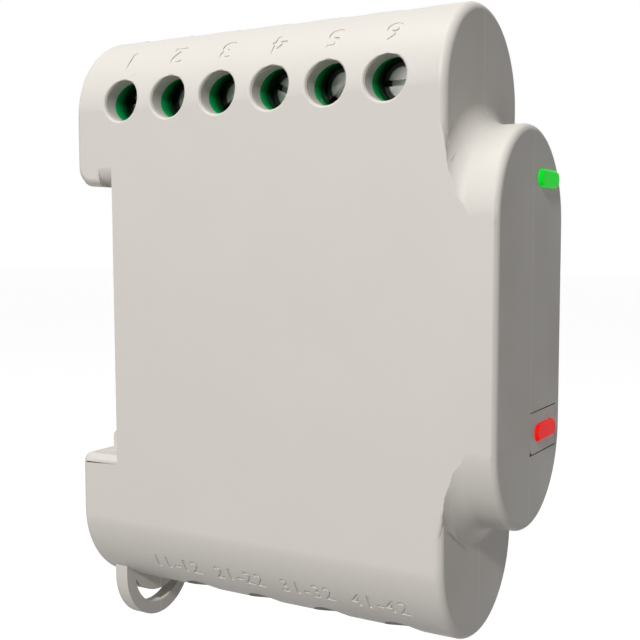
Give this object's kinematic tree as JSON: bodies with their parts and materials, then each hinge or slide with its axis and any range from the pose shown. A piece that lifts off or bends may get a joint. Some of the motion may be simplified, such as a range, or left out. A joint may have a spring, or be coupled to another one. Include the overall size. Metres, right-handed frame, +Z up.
{
  "type": "three-phase energy meter",
  "caption": "Rail-mounted three-phase energy meter with rounded shells, screw terminals in a green block, round sensor sockets, a lit reset key and a sprung rail clip.",
  "frame": {"origin": "centre of the seat that rests on the rail, on the shells' parting plane", "axes": "+Z up, -Y towards the front face, +Y into the rail, X along the rail; the screw side is -X"},
  "size_m": [0.022, 0.0588, 0.0796],
  "materials": {
    "shell_plastic": "satin",
    "terminal_green": "satin",
    "screw_steel": "satin",
    "clamp_steel": "satin",
    "bar_brass": "satin",
    "board": "gloss",
    "black_plastic": "satin",
    "pin_metal": "satin",
    "shield_metal": "satin",
    "relay_cover": "gloss",
    "relay_steel": "satin",
    "winding": "gloss",
    "ferrite": "matte",
    "capacitor_sleeve": "gloss",
    "varistor_coat": "gloss",
    "resistor_coat": "satin",
    "led_clear": "gloss",
    "lens_green": "gloss",
    "lens_red": "gloss",
    "spring_steel": "satin"
  },
  "bodies": {
    "housing": {"left_shell": "shell_plastic", "right_shell": "shell_plastic", "terminal_block": "terminal_green", "contact_bars": "bar_brass", "main_board": "board", "logic_board": "board", "socket_pins": "pin_metal", "header_strip": "black_plastic", "header_socket": "black_plastic", "header_pins": "pin_metal", "radio_shield": "shield_metal", "metering_chip": "black_plastic", "crystal": "shield_metal", "relay_case": "relay_cover", "relay_base": "black_plastic", "relay_yoke": "relay_steel", "relay_coil": "winding", "relay_contacts": "bar_brass", "relay_pins": "pin_metal", "transformer_core": "ferrite", "transformer_winding": "winding", "transformer_foot": "black_plastic", "capacitors": "capacitor_sleeve", "choke": "ferrite", "varistors": "varistor_coat", "fusible_resistors": "resistor_coat", "rectifier": "black_plastic", "divider_resistors": "black_plastic", "front_leds": "led_clear", "light_pipe": "lens_green", "reset_switch": "black_plastic", "clip_spring": "spring_steel", "sensor_socket_1": "black_plastic", "sensor_socket_2": "black_plastic", "sensor_socket_3": "black_plastic", "sensor_socket_4": "black_plastic"},
    "screw_1": {"terminal_screw_1": "screw_steel"},
    "clamp_1": {"wire_clamp_1": "clamp_steel"},
    "screw_2": {"terminal_screw_2": "screw_steel"},
    "clamp_2": {"wire_clamp_2": "clamp_steel"},
    "screw_3": {"terminal_screw_3": "screw_steel"},
    "clamp_3": {"wire_clamp_3": "clamp_steel"},
    "screw_4": {"terminal_screw_4": "screw_steel"},
    "clamp_4": {"wire_clamp_4": "clamp_steel"},
    "screw_5": {"terminal_screw_5": "screw_steel"},
    "clamp_5": {"wire_clamp_5": "clamp_steel"},
    "screw_6": {"terminal_screw_6": "screw_steel"},
    "clamp_6": {"wire_clamp_6": "clamp_steel"},
    "clip": {"rail_clip": "shell_plastic"},
    "key": {"reset_key": "shell_plastic", "key_lens": "lens_red"},
    "plunger": {"switch_plunger": "black_plastic"},
    "armature": {"relay_armature": "relay_steel"}
  },
  "joints": [
    {"name": "clamp_1_rise", "type": "slide", "parent": "housing", "child": "clamp_1", "axis": [-1, 0, 0], "range_m": [0, 0.0019]},
    {"name": "screw_1_turn", "type": "hinge", "parent": "housing", "child": "screw_1", "pos_m": [-0.0054, -0.0015, 0.0283], "axis": [1, 0, 0], "range_deg": [0, 1368]},
    {"name": "clamp_2_rise", "type": "slide", "parent": "housing", "child": "clamp_2", "axis": [-1, 0, 0], "range_m": [0, 0.0019]},
    {"name": "screw_2_turn", "type": "hinge", "parent": "housing", "child": "screw_2", "pos_m": [-0.0054, -0.009, 0.0283], "axis": [1, 0, 0], "range_deg": [0, 1368]},
    {"name": "clamp_3_rise", "type": "slide", "parent": "housing", "child": "clamp_3", "axis": [-1, 0, 0], "range_m": [0, 0.0019]},
    {"name": "screw_3_turn", "type": "hinge", "parent": "housing", "child": "screw_3", "pos_m": [-0.0054, -0.0165, 0.0283], "axis": [1, 0, 0], "range_deg": [0, 1368]},
    {"name": "clamp_4_rise", "type": "slide", "parent": "housing", "child": "clamp_4", "axis": [-1, 0, 0], "range_m": [0, 0.0019]},
    {"name": "screw_4_turn", "type": "hinge", "parent": "housing", "child": "screw_4", "pos_m": [-0.0054, -0.024, 0.0283], "axis": [1, 0, 0], "range_deg": [0, 1368]},
    {"name": "clamp_5_rise", "type": "slide", "parent": "housing", "child": "clamp_5", "axis": [-1, 0, 0], "range_m": [0, 0.0019]},
    {"name": "screw_5_turn", "type": "hinge", "parent": "housing", "child": "screw_5", "pos_m": [-0.0054, -0.0315, 0.0283], "axis": [1, 0, 0], "range_deg": [0, 1368]},
    {"name": "clamp_6_rise", "type": "slide", "parent": "housing", "child": "clamp_6", "axis": [-1, 0, 0], "range_m": [0, 0.0019]},
    {"name": "screw_6_turn", "type": "hinge", "parent": "housing", "child": "screw_6", "pos_m": [-0.0054, -0.039, 0.0283], "axis": [1, 0, 0], "range_deg": [0, 1368]},
    {"name": "clip_slide", "type": "slide", "parent": "housing", "child": "clip", "axis": [0, 0, -1], "range_m": [0, 0.003], "stiffness_N_per_m": 1500, "springref_m": -0.002, "deforming": ["clip_spring"]},
    {"name": "key_press", "type": "slide", "parent": "housing", "child": "key", "axis": [0, 1, 0], "range_m": [0, 0.0003], "stiffness_N_per_m": 4000, "springref_m": -0.0001},
    {"name": "plunger_press", "type": "slide", "parent": "housing", "child": "plunger", "axis": [0, 1, 0], "range_m": [0, 0.0003]},
    {"name": "armature_rock", "type": "hinge", "parent": "housing", "child": "armature", "pos_m": [-0.0053, -0.0132, 0.01], "axis": [0, 0, -1], "range_deg": [0, 3], "stiffness_Nm_per_rad": 0.045, "springref_deg": -1.15}
  ],
  "couplings": [
    {"joint": "screw_1_turn", "follows": "clamp_1_rise", "rad_per_m": 12566},
    {"joint": "screw_2_turn", "follows": "clamp_2_rise", "rad_per_m": 12566},
    {"joint": "screw_3_turn", "follows": "clamp_3_rise", "rad_per_m": 12566},
    {"joint": "screw_4_turn", "follows": "clamp_4_rise", "rad_per_m": 12566},
    {"joint": "screw_5_turn", "follows": "clamp_5_rise", "rad_per_m": 12566},
    {"joint": "screw_6_turn", "follows": "clamp_6_rise", "rad_per_m": 12566},
    {"joint": "plunger_press", "follows": "key_press", "ratio": 1}
  ]
}
